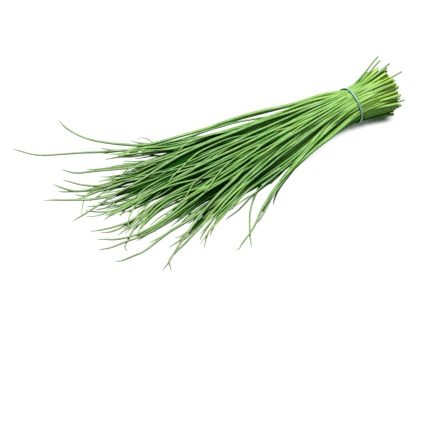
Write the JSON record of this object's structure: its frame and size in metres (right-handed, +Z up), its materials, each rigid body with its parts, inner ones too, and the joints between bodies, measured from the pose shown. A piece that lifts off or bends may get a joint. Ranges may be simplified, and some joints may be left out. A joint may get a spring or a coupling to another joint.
{
  "type": "chive bunch",
  "caption": "Bunch of long thin green chives lying down, tied near the cut ends with one thin rubber band, the tips fanned out.",
  "frame": {"origin": "middle of the bunch's footprint, on the surface that it lies on", "axes": "+X along the tied waist towards the cut ends, with the tips fanned out towards -X; +Z up from the surface"},
  "size_m": [0.3159, 0.2012, 0.0377],
  "materials": {
    "chive_leaf": "waxy satin",
    "rubber_band": "smooth"
  },
  "bodies": {
    "root": {"chive_leaves": "chive_leaf", "rubber_band": "rubber_band"}
  },
  "joints": []
}
